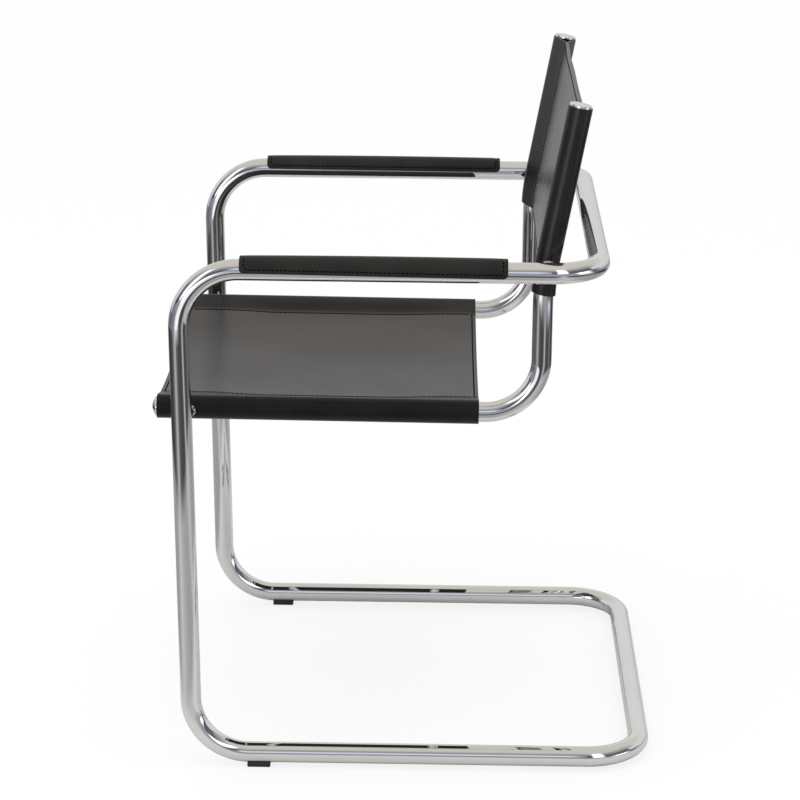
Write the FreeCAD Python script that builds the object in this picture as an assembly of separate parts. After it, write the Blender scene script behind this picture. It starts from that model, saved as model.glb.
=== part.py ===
import FreeCAD
import Part
import math
import os

# A cantilever armchair of bent chrome tube with a leather seat, back and arm pads.
# Millimetres. +X is the sitter's left, the chair faces -Y and +Z is up.
# The origin is on the floor, in the middle of the chair's width and depth.

V = FreeCAD.Vector

# Overall size
frame_width = 566.0           # outside the tubes
overall_depth = 608.0

# Tubes
frame_tube_diameter = 25.0
seat_tube_diameter = 24.0
tube_wall = 2.0

# Outer frame: floor tubes, front legs and arms in one closed loop
arm_axis_height = 626.0
leg_setback = 46.2            # foot of the leg behind the tip of the seat tube
leg_lean_angle = 1.0          # degrees, the leg's top is ahead of its foot
arm_loop_gap = 41.6           # between the back tubes and the arm loop behind them
rear_floor_bend_radius = 68.0
front_floor_bend_radius = 71.0
front_arm_bend_radius = 70.0
rear_arm_bend_radius = 59.5
joint_sleeve_length = 80.0
joint_sleeve_wall = 2.0
press_clearance = 0.05        # radial, for plugs and sleeves inside tubes

# Seat and back tubes: one bent tube each side
joint_gap = 17.8              # between the frame tube and the seat tube beside it
seat_front_height = 446.0
seat_rear_height = 443.1
upright_inset = 145.0         # uprights' axis ahead of the rear of the floor tube
seat_bend_radius = 66.5
back_bend_drop = 18.7         # bend's corner below the arm's axis
back_bend_radius = 307.0
back_tilt_angle = 10.4        # degrees, behind the vertical
back_tube_top_height = 814.3

# Spreader bars under the seat
spreader_diameter = 16.0
spreader_wall = 1.5
spreader_drop = 32.0
spreader_run = 100.0          # sideways length of each sloping end
spreader_bend_radius = 90.0
front_spreader_from_tip = 120.0
rear_spreader_inset = 123.0   # ahead of the uprights

# Tube ends
seat_cap_dome = 5.6
back_cap_diameter = 26.6
back_cap_thickness = 2.6
cap_stub_length = 14.0
cap_wall = 2.0
cap_edge_radius = 0.7

# Bolted joints between the two frames
bolt_diameter = 6.0
bolt_hole_clearance = 0.25    # radial
bolt_head_diameter = 11.0
bolt_head_height = 3.4
bolt_socket_width = 4.0       # across the flats
bolt_socket_depth = 2.0
leg_bolt_setback = 8.0        # behind the leg's axis
arm_bolt_rise = 2.5           # above the arm's axis
spacer_neck_diameter = 9.2
spacer_flange_diameter = 14.2
spacer_flange_gap = 0.3       # between the flange and the leather under it
spacer_rim_length = 1.6
spacer_shoulder_length = 3.4  # rounded, from the rim down to the neck
spacer_saddle_depth = 6.0     # how far each end reaches round its tube
insert_diameter = 8.0
insert_length = 12.0

# Leather slings
sleeve_leather = 2.3
sleeve_slack = 0.2            # between tube and leather
panel_thickness = 3.6
seat_seam_offset = 38.0       # seam inside the tube's axis
seat_seam_rise = 3.8          # panel's middle above the tube's axis, at the seam
seat_sag = 9.0
seat_front_margin = 6.0       # behind the tip of the seat tube
seat_rear_margin = 73.3       # ahead of the uprights' axis
back_seam_offset = 30.0
back_seam_rise = -1.2
back_sag = -0.8               # the panel is drawn slightly forward in the middle
back_lower_end_drop = 34.6    # below the arm's axis
back_top_margin = 0.3         # below the end of the tube
pocket_run_out = 7.0          # the two layers meet this far outside the seam
sleeve_hole_clearance = 0.6
spreader_hole_clearance = 1.5

# Arm pads
pad_front_from_tip = 108.4
pad_rear_inset = 43.0         # ahead of the uprights' axis
pad_outer_radius = 15.6
pad_crown_lift = 1.0          # centre of the pad's outer arc above the arm's axis
pad_crown_extra = 0.9         # more height in the middle of the length
pad_outer_drop = 2.4          # outer lower edge below the arm's axis
pad_inner_drop = -1.5         # inner lower edge, above the arm's axis
pad_corner_radius = 6.0
pad_clearance = 0.2
pad_plate_thickness = 1.8
pad_plate_half_angle = 52.0   # degrees each side of the top
pad_plate_end_gap = 12.0
pad_screw_diameter = 4.0
pad_screw_head_diameter = 7.6
pad_screw_head_height = 2.4
pad_screw_inset = 55.0        # from each end of the pad
pad_screw_access_diameter = 9.5
pad_screw_hole_clearance = 0.3

# Glides under the floor tubes
glide_length = 28.0
glide_width = 17.0
glide_height = 4.5            # below the tube
glide_saddle_rise = 4.6       # sides of the saddle above the tube's underside
glide_edge_radius = 1.2
glide_pin_diameter = 8.0
glide_pin_length = 9.0
glide_pin_clearance = 0.1
front_glide_from_tip = 127.7
rear_glide_inset = 85.5       # inside the side tubes' axis

# Worked out from the sizes above
frame_radius = frame_tube_diameter / 2
seat_radius = seat_tube_diameter / 2
frame_bore = frame_radius - tube_wall
seat_bore = seat_radius - tube_wall
frame_x = frame_width / 2 - frame_radius
seat_x = frame_x - frame_radius - joint_gap - seat_radius
floor_axis_z = glide_height + frame_radius
tip_y = -overall_depth / 2
floor_rear_y = overall_depth / 2 - frame_radius
upright_y = overall_depth / 2 - upright_inset
arm_rear_y = upright_y + seat_radius + arm_loop_gap + frame_radius
leg_foot_y = tip_y + leg_setback
leg_slope = math.tan(math.radians(leg_lean_angle))
seat_tube_end_y = tip_y + seat_cap_dome
back_bend_height = arm_axis_height - back_bend_drop
seat_slope = (seat_rear_height - seat_front_height) / (upright_y - tip_y)
rail_angle = math.atan(seat_slope)
rail_direction = V(0, math.cos(rail_angle), math.sin(rail_angle))
rail_normal = V(0, -math.sin(rail_angle), math.cos(rail_angle))
tilt = math.radians(back_tilt_angle)
back_direction = V(0, math.sin(tilt), math.cos(tilt))
back_top_y = upright_y + (back_tube_top_height - back_bend_height) * math.tan(tilt)
sleeve_radius = seat_radius + sleeve_slack + sleeve_leather
pocket_radius = seat_radius + sleeve_slack
pad_inner_radius = frame_radius + pad_clearance
pad_front_y = tip_y + pad_front_from_tip
pad_rear_y = upright_y - pad_rear_inset
pad_length = pad_rear_y - pad_front_y
bolt_hole_radius = bolt_diameter / 2 + bolt_hole_clearance


def leg_y(z):
    return leg_foot_y - (z - floor_axis_z) * leg_slope


def rail_z(y):
    return seat_front_height + (y - tip_y) * seat_slope


def mirrored(shape):
    return shape.mirror(V(0, 0, 0), V(1, 0, 0))


def line(a, b):
    return Part.LineSegment(a, b).toShape()


def arc(a, b, c):
    return Part.Arc(a, b, c).toShape()


def bent_path(corners, radii):
    """A path through the corners, with a tangent arc of the given radius at each inner one."""
    edges = []
    start = corners[0]
    for before, corner, after, radius in zip(corners, corners[1:], corners[2:], radii):
        to_before = (before - corner).normalize()
        to_after = (after - corner).normalize()
        half = to_before.getAngle(to_after) / 2
        reach = radius / math.tan(half)
        bisector = (to_before + to_after).normalize()
        first = corner + to_before * reach
        last = corner + to_after * reach
        middle = corner + bisector * (radius / math.sin(half) - radius)
        edges.append(line(start, first))
        edges.append(arc(first, middle, last))
        start = last
    edges.append(line(start, corners[-1]))
    return Part.Wire(edges)


def swept_rod(path, radius):
    start = path.Edges[0].Vertexes[0].Point
    onward = (path.Edges[0].Vertexes[-1].Point - start).normalize()
    profile = Part.Face(Part.Wire(Part.makeCircle(radius, start, onward)))
    return path.makePipe(profile)


def swept_tube(path, radius, wall):
    return swept_rod(path, radius).cut(swept_rod(path, radius - wall))


def rod(radius, start, end):
    return Part.makeCylinder(radius, (end - start).Length, start, end - start)


def turned(points, base, direction):
    """A solid of revolution: points are (radius, distance along the direction)."""
    wire = Part.makePolygon([V(r, 0, h) for r, h in points + points[:1]])
    solid = Part.Face(wire).revolve(V(0, 0, 0), V(0, 0, 1), 360)
    solid.Placement = FreeCAD.Placement(base, FreeCAD.Rotation(V(0, 0, 1), direction))
    return solid


def fused(shapes):
    return shapes[0].multiFuse(shapes[1:]).removeSplitter()


# Places that several pieces share
leg_bolt_y = leg_y(rail_z(leg_foot_y)) + leg_bolt_setback
leg_bolt_z = rail_z(leg_bolt_y)
bend_half_length = back_bend_radius * math.tan(tilt / 2)
bend_start_z = back_bend_height - bend_half_length
bend_centre = V(0, upright_y + back_bend_radius, bend_start_z)
bend_end = V(0, upright_y, back_bend_height) + back_direction * bend_half_length


def back_axis_y(z):
    """Where the back tube's axis is at a height."""
    if z > bend_end.z:
        return upright_y + (z - back_bend_height) * math.tan(tilt)
    if z > bend_start_z:
        rise = z - bend_start_z
        return bend_centre.y - math.sqrt(back_bend_radius ** 2 - rise ** 2)
    return upright_y


arm_bolt_z = arm_axis_height + arm_bolt_rise
bolt_places = [V(0, leg_bolt_y, leg_bolt_z), V(0, back_axis_y(arm_bolt_z), arm_bolt_z)]
glide_front_y = tip_y + front_glide_from_tip
glide_rear_x = frame_x - rear_glide_inset
front_spreader_y = tip_y + front_spreader_from_tip
rear_spreader_y = upright_y - rear_spreader_inset
pad_screw_ys = [pad_front_y + pad_screw_inset, pad_rear_y - pad_screw_inset]


def frame_path():
    """Half of the outer loop, from the middle of the floor tube to the middle of the arm loop."""
    corners = [
        V(0, floor_rear_y, floor_axis_z),
        V(frame_x, floor_rear_y, floor_axis_z),
        V(frame_x, leg_foot_y, floor_axis_z),
        V(frame_x, leg_y(arm_axis_height), arm_axis_height),
        V(frame_x, arm_rear_y, arm_axis_height),
        V(0, arm_rear_y, arm_axis_height),
    ]
    radii = [rear_floor_bend_radius, front_floor_bend_radius, front_arm_bend_radius, rear_arm_bend_radius]
    return bent_path(corners, radii)


def make_frame_half():
    tube = swept_tube(frame_path(), frame_radius, tube_wall)
    holes = []
    for place in bolt_places:
        inner = V(frame_x - 2 * frame_radius, place.y, place.z)
        holes.append(rod(insert_diameter / 2, inner, V(frame_x, place.y, place.z)))
    for y in pad_screw_ys:
        axis = V(frame_x, y, arm_axis_height)
        up = V(0, 0, 2 * frame_radius)
        holes.append(rod(pad_screw_diameter / 2 + pad_screw_hole_clearance, axis, axis + up))
        holes.append(rod(pad_screw_access_diameter / 2, axis - up, axis))
    pin_hole = glide_pin_diameter / 2 + glide_pin_clearance
    for x, y in [(frame_x, glide_front_y), (glide_rear_x, floor_rear_y)]:
        holes.append(rod(pin_hole, V(x, y, 0), V(x, y, floor_axis_z)))
    return tube.cut(Part.makeCompound(holes))


def make_joint_sleeve(y, z):
    """The short inner tube that joins the two halves of the loop."""
    half = V(joint_sleeve_length / 2, 0, 0)
    centre = V(0, y, z)
    outer = frame_bore - press_clearance
    sleeve = rod(outer, centre - half, centre + half)
    return sleeve.cut(rod(outer - joint_sleeve_wall, centre - half, centre + half))


def seat_tube_path():
    corners = [
        V(seat_x, seat_tube_end_y, rail_z(seat_tube_end_y)),
        V(seat_x, upright_y, seat_rear_height),
        V(seat_x, upright_y, back_bend_height),
        V(seat_x, back_top_y, back_tube_top_height),
    ]
    return bent_path(corners, [seat_bend_radius, back_bend_radius])


def make_seat_tube():
    tube = swept_tube(seat_tube_path(), seat_radius, tube_wall)
    reach = V(2 * seat_radius, 0, 0)
    holes = []
    for place in bolt_places:
        centre = V(seat_x, place.y, place.z)
        holes.append(rod(bolt_hole_radius, centre - reach, centre + reach))
    return tube.cut(Part.makeCompound(holes))


def spreader_path(y):
    z = rail_z(y)
    inner = seat_x - spreader_run
    corners = [
        V(-seat_x, y, z),
        V(-inner, y, z - spreader_drop),
        V(inner, y, z - spreader_drop),
        V(seat_x, y, z),
    ]
    return bent_path(corners, [spreader_bend_radius, spreader_bend_radius])


def rail_rods(radius):
    """Both straight seat rails as plain rods, to cut what meets them."""
    start = V(seat_x, tip_y, rail_z(tip_y))
    rail = rod(radius, start, start + rail_direction * (upright_y - tip_y))
    return Part.makeCompound([rail, mirrored(rail)])


def make_spreader(y):
    bar = swept_tube(spreader_path(y), spreader_diameter / 2, spreader_wall)
    trimmed = bar.cut(rail_rods(seat_radius))
    return max(trimmed.Solids, key=lambda solid: solid.Volume)


def cap_stub(radius):
    """The hollow stub that presses into the tube, below height 0."""
    inner = radius - cap_wall
    return [(radius, 0), (radius, -cap_stub_length + 1), (radius - 1, -cap_stub_length),
            (inner, -cap_stub_length), (inner, -cap_wall), (0, -cap_wall)]


def make_seat_cap():
    """A domed plug: a shallow crown with a rolled edge."""
    edge = seat_cap_dome * 0.45
    crown = seat_cap_dome - edge
    steps = 5
    rim = []
    for i in range(steps + 1):
        turn = math.radians(90 * i / steps)
        rim.append((seat_radius - edge + edge * math.cos(turn), edge * math.sin(turn)))
    top = []
    flat = seat_radius - edge
    for i in range(1, steps + 1):
        r = flat * (1 - i / steps)
        top.append((r, edge + crown * (1 - (r / flat) ** 2)))
    outline = cap_stub(seat_bore - press_clearance)[::-1] + rim + top
    return turned(outline, V(seat_x, seat_tube_end_y, rail_z(seat_tube_end_y)), rail_direction * -1)


def make_back_cap():
    """A flat disc with a rounded rim over the end of the tube."""
    radius = back_cap_diameter / 2
    steps = 3
    rim = [(radius - cap_edge_radius, 0)]
    for i in range(steps + 1):
        turn = math.radians(-90 + 90 * i / steps)
        rim.append((radius - cap_edge_radius + cap_edge_radius * math.cos(turn),
                    cap_edge_radius + cap_edge_radius * math.sin(turn)))
    for i in range(steps + 1):
        turn = math.radians(90 * i / steps)
        rim.append((radius - cap_edge_radius + cap_edge_radius * math.cos(turn),
                    back_cap_thickness - cap_edge_radius + cap_edge_radius * math.sin(turn)))
    outline = cap_stub(seat_bore - press_clearance)[::-1] + rim[1:] + [(0, back_cap_thickness)]
    return turned(outline, V(seat_x, back_top_y, back_tube_top_height), back_direction)


def make_spacer(place):
    """A turned spacer: a flange on the leather and a neck hollowed at both ends to sit on the tubes."""
    neck = spacer_neck_diameter / 2
    flange = spacer_flange_diameter / 2
    start_x = seat_x + seat_radius - spacer_saddle_depth
    flange_start = seat_x + sleeve_radius + spacer_flange_gap - start_x
    rim_end = flange_start + spacer_rim_length
    length = frame_x - frame_radius + spacer_saddle_depth - start_x
    outline = [(bolt_hole_radius, 0), (neck, 0), (neck, flange_start), (flange, flange_start)]
    steps = 5
    for i in range(steps + 1):
        turn = math.radians(90 * i / steps)
        across = neck + (flange - neck) * math.cos(turn)
        outline.append((across, rim_end + spacer_shoulder_length * math.sin(turn)))
    outline.extend([(neck, length), (bolt_hole_radius, length)])
    spacer = turned(outline, V(start_x, place.y, place.z), V(1, 0, 0))
    tubes = [swept_rod(frame_path(), frame_radius), swept_rod(seat_tube_path(), seat_radius)]
    return spacer.cut(Part.makeCompound(tubes))


def make_bolt(place):
    """A round-headed socket screw from inside the seat tube to the frame tube."""
    shank = bolt_diameter / 2
    head = bolt_head_diameter / 2
    length = frame_x - frame_radius + insert_length * 0.8 - (seat_x - seat_radius)
    crown = [(head, 0), (head, -0.6)]
    for i in range(1, 5):
        turn = math.radians(90 * i / 4)
        across = head * (0.45 + 0.55 * math.cos(turn))
        crown.append((across, -0.6 - (bolt_head_height - 0.6) * math.sin(turn)))
    outline = [(0, length), (shank - 0.8, length), (shank, length - 0.8), (shank, 0)] + crown
    outline.append((0, -bolt_head_height))
    base = V(seat_x - seat_radius, place.y, place.z)
    bolt = turned(outline, base, V(1, 0, 0))
    corner = bolt_socket_width / math.sqrt(3)
    bottom = base - V(bolt_head_height - bolt_socket_depth, 0, 0)
    points = []
    for i in range(7):
        turn = math.radians(60 * i)
        points.append(bottom + V(0, corner * math.cos(turn), corner * math.sin(turn)))
    socket = Part.Face(Part.makePolygon(points)).extrude(V(-bolt_head_height, 0, 0))
    return bolt.cut(socket)


def make_insert(place):
    """A threaded bush in the frame tube's inner side, flush with the tube, its bore filled by the bolt."""
    start = V(frame_x - frame_radius, place.y, place.z)
    end = start + V(insert_length, 0, 0)
    bush = rod(insert_diameter / 2 - press_clearance, start, end).cut(rod(bolt_diameter / 2, start, end))
    return bush.common(swept_rod(frame_path(), frame_radius - press_clearance))


def tangent_points(centre_x, radius, point_x, point_y):
    """Where the two lines from a point touch a circle centred on (centre_x, 0): upper, then lower."""
    dx = point_x - centre_x
    distance = math.hypot(dx, point_y)
    towards = math.atan2(point_y, dx)
    spread = math.acos(radius / distance)
    touches = []
    for turn in (towards - spread, towards + spread):
        touches.append((centre_x + radius * math.cos(turn), radius * math.sin(turn)))
    return sorted(touches, key=lambda p: -p[1])


def sling_outline(seam_offset, rise, sag):
    """The leather's outer shape across the chair: a sleeve at each side and a sagging panel."""
    half = panel_thickness / 2
    seam_x = seat_x - seam_offset
    upper = tangent_points(seat_x, sleeve_radius, seam_x, rise + half)[0]
    lower = tangent_points(seat_x, sleeve_radius, seam_x, rise - half)[1]
    outer = (seat_x + sleeve_radius, 0)
    points = {
        "upper_seam": (seam_x, rise + half), "upper": upper, "outer": outer, "lower": lower,
        "lower_seam": (seam_x, rise - half),
    }
    return points, (0, rise + half - sag), (0, rise - half - sag)


def section_vector(point, across, side=1):
    """A section point in space: x stays across the chair, the second value runs along the normal."""
    return V(side * point[0], 0, 0) + across * point[1]


def sleeve_arcs(points, radius, across, side):
    """The two arcs that wrap the tube, from the upper touch point round the outside to the lower."""
    edges = []
    stops = [points["upper"], points["outer"], points["lower"]]
    for a, b in zip(stops, stops[1:]):
        turn_a = math.atan2(a[1], a[0] - seat_x)
        turn_b = math.atan2(b[1], b[0] - seat_x)
        middle_turn = (turn_a + turn_b) / 2
        middle = (seat_x + radius * math.cos(middle_turn), radius * math.sin(middle_turn))
        edges.append(arc(*[section_vector(p, across, side) for p in (a, middle, b)]))
    return edges


def sling_face(seam_offset, rise, sag, across):
    points, top_middle, bottom_middle = sling_outline(seam_offset, rise, sag)
    edges = []
    for side in (1, -1):
        place = {name: section_vector(p, across, side) for name, p in points.items()}
        edges.append(line(place["upper_seam"], place["upper"]))
        edges.extend(sleeve_arcs(points, sleeve_radius, across, side))
        edges.append(line(place["lower"], place["lower_seam"]))
    for end, middle in (("upper_seam", top_middle), ("lower_seam", bottom_middle)):
        left = section_vector(points[end], across, 1)
        right = section_vector(points[end], across, -1)
        edges.append(arc(left, section_vector(middle, across), right))
    return Part.Face(Part.Wire(Part.__sortEdges__(edges)))


def pocket_face(seam_offset, rise, across, side):
    """The hollow inside one sleeve: the tube's room, narrowing to where the layers meet."""
    apex = (seat_x - seam_offset + pocket_run_out, rise)
    upper, lower = tangent_points(seat_x, pocket_radius, *apex)
    points = {"upper": upper, "outer": (seat_x + pocket_radius, 0), "lower": lower}
    edges = sleeve_arcs(points, pocket_radius, across, side)
    tip = section_vector(apex, across, side)
    edges.append(line(section_vector(lower, across, side), tip))
    edges.append(line(tip, section_vector(upper, across, side)))
    return Part.Face(Part.Wire(Part.__sortEdges__(edges)))


def sling_section(seam_offset, rise, sag, across):
    face = sling_face(seam_offset, rise, sag, across)
    for side in (1, -1):
        face = face.cut(pocket_face(seam_offset, rise, across, side))
    return face


def spacer_holes(place):
    """The round openings in the sleeves that let the spacers reach the tubes."""
    radius = spacer_neck_diameter / 2 + sleeve_hole_clearance
    hole = rod(radius, V(seat_x, place.y, place.z), V(frame_x, place.y, place.z))
    return [hole, mirrored(hole)]


def make_seat_sling():
    start_y = tip_y + seat_front_margin
    section = sling_section(seat_seam_offset, seat_seam_rise, seat_sag, rail_normal)
    section.translate(V(0, start_y, rail_z(start_y)))
    seat_length = (upright_y - seat_rear_margin - start_y) / math.cos(rail_angle)
    sling = section.extrude(rail_direction * seat_length)
    cuts = spacer_holes(bolt_places[0])
    for y in (front_spreader_y, rear_spreader_y):
        cuts.append(swept_rod(spreader_path(y), spreader_diameter / 2 + spreader_hole_clearance))
    return sling.cut(Part.makeCompound(cuts))


def make_back_sling():
    """The back leather follows the bend in its tubes and is cut square to the tilted part."""
    section = sling_section(back_seam_offset, back_seam_rise, back_sag, V(0, -1, 0))
    section.translate(V(0, upright_y, bend_start_z))
    bent = section.revolve(bend_centre, V(-1, 0, 0), back_tilt_angle)
    section.rotate(bend_centre, V(-1, 0, 0), back_tilt_angle)
    end = V(0, back_top_y, back_tube_top_height)
    straight = section.extrude(back_direction * ((end - bend_end).Length - back_top_margin))
    sling = bent.fuse(straight).removeSplitter()
    foot_z = arm_axis_height - back_lower_end_drop
    foot = V(0, back_axis_y(foot_z), foot_z)
    size = frame_width
    block = Part.makeBox(size, size, size, V(-size / 2, -size / 2, -size))
    block.Placement = FreeCAD.Placement(foot, FreeCAD.Rotation(V(0, 0, 1), back_direction))
    return sling.cut(Part.makeCompound([block] + spacer_holes(bolt_places[1])))


def pad_section(extra, y):
    """The arm pad's outer section: an arc over the top, closed straight across below."""
    radius = pad_outer_radius + extra / 2
    centre_z = pad_crown_lift + extra / 2
    drop = pad_outer_drop
    reach = math.sqrt(radius ** 2 - (drop + centre_z) ** 2)
    at = lambda x, z: V(frame_x + x, y, arm_axis_height + z)
    edges = [
        arc(at(-reach, -drop), at(-radius, centre_z), at(0, centre_z + radius)),
        arc(at(0, centre_z + radius), at(radius, centre_z), at(reach, -drop)),
        line(at(reach, -drop), at(-reach, -drop)),
    ]
    return Part.Wire(edges)


def pad_side_outline(drop, side):
    """The pad seen from the side, with rounded lower corners, as a block that trims half of it."""
    low = arm_axis_height - drop
    high = arm_axis_height + 2 * pad_outer_radius
    r = pad_corner_radius
    cut = r * (1 - math.sqrt(0.5))
    at = lambda y, z: V(frame_x, y, z)
    edges = [
        line(at(pad_front_y, high), at(pad_front_y, low + r)),
        arc(at(pad_front_y, low + r), at(pad_front_y + cut, low + cut), at(pad_front_y + r, low)),
        line(at(pad_front_y + r, low), at(pad_rear_y - r, low)),
        arc(at(pad_rear_y - r, low), at(pad_rear_y - cut, low + cut), at(pad_rear_y, low + r)),
        line(at(pad_rear_y, low + r), at(pad_rear_y, high)),
        line(at(pad_rear_y, high), at(pad_front_y, high)),
    ]
    return Part.Face(Part.Wire(edges)).extrude(V(side * 2 * pad_outer_radius, 0, 0))


def plate_solid(clearance):
    """The curved plate between the arm tube and the leather, or the room for it."""
    inner = pad_inner_radius - clearance
    outer = pad_inner_radius + pad_plate_thickness + clearance
    turn = math.radians(pad_plate_half_angle) + clearance / outer
    y = pad_front_y + pad_plate_end_gap - clearance

    def at(r, a):
        return V(frame_x + r * math.sin(a), y, arm_axis_height + r * math.cos(a))

    edges = [
        arc(at(outer, -turn), at(outer, 0), at(outer, turn)),
        line(at(outer, turn), at(inner, turn)),
        arc(at(inner, turn), at(inner, 0), at(inner, -turn)),
        line(at(inner, -turn), at(outer, -turn)),
    ]
    length = pad_length - 2 * (pad_plate_end_gap - clearance)
    return Part.Face(Part.Wire(edges)).extrude(V(0, length, 0))


def pad_screw_rods(radius):
    rods = []
    for y in pad_screw_ys:
        axis = V(frame_x, y, arm_axis_height)
        rods.append(rod(radius, axis, axis + V(0, 0, pad_inner_radius + pad_plate_thickness)))
    return rods


def make_arm_pad():
    middle_y = (pad_front_y + pad_rear_y) / 2
    sections = [
        pad_section(0, pad_front_y),
        pad_section(pad_crown_extra, middle_y),
        pad_section(0, pad_rear_y),
    ]
    body = Part.makeLoft(sections, True, False)
    sides = fused([pad_side_outline(pad_outer_drop, 1), pad_side_outline(pad_inner_drop, -1)])
    reach = V(0, pad_length, 0)
    axis = V(frame_x, middle_y, arm_axis_height)
    body = body.common(sides).cut(rod(pad_inner_radius, axis - reach, axis + reach))
    return body.cut(plate_solid(pad_clearance))


def make_pad_plate():
    return plate_solid(0).cut(Part.makeCompound(pad_screw_rods(pad_screw_diameter / 2)))


def make_pad_screw(y):
    """A pan-headed screw whose head sits inside the arm tube, under its upper wall."""
    shank = pad_screw_diameter / 2
    head = pad_screw_head_diameter / 2
    seat = math.sqrt(frame_bore ** 2 - head ** 2)
    top = pad_inner_radius + pad_plate_thickness - seat
    outline = [(0, top), (shank, top), (shank, 0), (head, 0), (head, -pad_screw_head_height * 0.6),
               (head * 0.7, -pad_screw_head_height), (0, -pad_screw_head_height)]
    return turned(outline, V(frame_x, y, arm_axis_height + seat), V(0, 0, 1))


def make_glide():
    """A saddle glide at the origin, long along Y, under a tube that runs along Y."""
    low = V(-glide_width / 2, -glide_length / 2, 0)
    block = Part.makeBox(glide_width, glide_length, glide_height + glide_saddle_rise, low)
    bottom = [edge for edge in block.Edges if edge.BoundBox.ZMax < glide_height]
    upright = [edge for edge in block.Edges if edge.BoundBox.ZLength > glide_height]
    block = block.makeFillet(glide_edge_radius, bottom + upright)
    reach = V(0, glide_length, 0)
    axis = V(0, 0, floor_axis_z)
    block = block.cut(rod(frame_radius, axis - reach, axis + reach))
    neck = glide_pin_diameter / 2
    tip = glide_pin_length
    pin = [(0, 0), (neck, 0), (neck, tip - 2.5), (neck * 0.6, tip), (0, tip)]
    return fused([block, turned(pin, V(0, 0, glide_height - 1), V(0, 0, 1))])


def make_nodes():
    nodes = {}

    def pair(name, shape):
        nodes[name + "_left"] = shape
        nodes[name + "_right"] = mirrored(shape)

    def group(name, shapes):
        nodes[name] = Part.makeCompound(shapes + [mirrored(shape) for shape in shapes])

    pair("frame_tube", make_frame_half())
    nodes["floor_joint_sleeve"] = make_joint_sleeve(floor_rear_y, floor_axis_z)
    nodes["arm_joint_sleeve"] = make_joint_sleeve(arm_rear_y, arm_axis_height)
    pair("seat_tube", make_seat_tube())
    nodes["seat_spreader_front"] = make_spreader(front_spreader_y)
    nodes["seat_spreader_rear"] = make_spreader(rear_spreader_y)
    pair("seat_tube_cap", make_seat_cap())
    pair("back_tube_cap", make_back_cap())
    pair("leg_spacer", make_spacer(bolt_places[0]))
    pair("arm_spacer", make_spacer(bolt_places[1]))
    group("frame_bolts", [make_bolt(place) for place in bolt_places])
    group("threaded_inserts", [make_insert(place) for place in bolt_places])
    nodes["seat_sling"] = make_seat_sling()
    nodes["back_sling"] = make_back_sling()
    pair("arm_pad", make_arm_pad())
    pair("arm_pad_plate", make_pad_plate())
    group("arm_pad_screws", [make_pad_screw(y) for y in pad_screw_ys])

    glide = make_glide()
    front = glide.copy()
    front.translate(V(frame_x, glide_front_y, 0))
    pair("front_glide", front)
    rear = glide.copy()
    rear.rotate(V(0, 0, 0), V(0, 0, 1), 90)
    rear.translate(V(glide_rear_x, floor_rear_y, 0))
    pair("rear_glide", rear)
    return nodes


os.makedirs("parts", exist_ok=True)
for node_name, node_shape in make_nodes().items():
    node_shape.exportStep("parts/" + node_name + ".step")
    box = node_shape.BoundBox
    print(node_name, "solids", len(node_shape.Solids), "valid", node_shape.isValid(),
          "volume", round(node_shape.Volume), "z", round(box.ZMin, 1), round(box.ZMax, 1))
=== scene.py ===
import bpy
import math
from mathutils import Matrix, Vector


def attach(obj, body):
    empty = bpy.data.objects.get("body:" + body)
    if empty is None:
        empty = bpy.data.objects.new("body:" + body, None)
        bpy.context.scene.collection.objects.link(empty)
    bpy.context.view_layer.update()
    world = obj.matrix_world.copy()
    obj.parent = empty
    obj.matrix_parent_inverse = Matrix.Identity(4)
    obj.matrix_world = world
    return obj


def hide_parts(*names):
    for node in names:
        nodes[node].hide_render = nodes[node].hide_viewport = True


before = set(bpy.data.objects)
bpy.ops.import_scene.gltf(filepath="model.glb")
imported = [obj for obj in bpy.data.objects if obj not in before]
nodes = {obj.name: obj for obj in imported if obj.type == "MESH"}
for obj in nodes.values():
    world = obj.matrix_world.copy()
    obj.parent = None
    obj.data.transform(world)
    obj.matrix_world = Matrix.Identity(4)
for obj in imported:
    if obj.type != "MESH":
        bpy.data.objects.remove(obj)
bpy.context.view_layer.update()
bpy.ops.object.select_all(action="DESELECT")
mm = 0.001
bothSides = (("left", 1), ("right", -1))
print("frame loaded:", len(nodes), "nodes")


def at(x, y, z):
    return Vector((x, y, z)) * mm


def smoothStep(t):
    t = max(0.0, min(1.0, t))
    return t * t * (3 - 2 * t)


def keep(piece, material, replaced=()):
    piece.data.materials.clear()
    for m in material if isinstance(material, list) else [material]:
        piece.data.materials.append(m)
    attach(piece, "root")
    if replaced:
        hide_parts(*replaced)
    return piece


def selectOnly(piece):
    bpy.ops.object.select_all(action="DESELECT")
    piece.select_set(True)
    bpy.context.view_layer.objects.active = piece


def meshPiece(name, points, faces):
    mesh = bpy.data.meshes.new(name)
    mesh.from_pydata([tuple(p) for p in points], [], faces)
    mesh.update()
    piece = bpy.data.objects.new(name, mesh)
    bpy.context.scene.collection.objects.link(piece)
    selectOnly(piece)
    bpy.ops.object.mode_set(mode="EDIT")
    bpy.ops.mesh.select_all(action="SELECT")
    bpy.ops.mesh.normals_make_consistent(inside=False)
    bpy.ops.object.mode_set(mode="OBJECT")
    return piece


def ringFaces(rings, count):
    # quads between closed rings of count points each
    faces = []
    for r in range(rings - 1):
        for c in range(count):
            d = (c + 1) % count
            faces.append((r * count + c, r * count + d, (r + 1) * count + d, (r + 1) * count + c))
    return faces


def applyAll(piece):
    selectOnly(piece)
    for modifier in list(piece.modifiers):
        bpy.ops.object.modifier_apply(modifier=modifier.name)


def smoothShade(piece, degrees=35):
    selectOnly(piece)
    bpy.ops.object.shade_smooth_by_angle(angle=math.radians(degrees))


def newMaterial(name):
    material = bpy.data.materials.new(name)
    material.use_nodes = True
    tree = material.node_tree
    shader = tree.nodes["Principled BSDF"]
    return material, tree, shader


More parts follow.
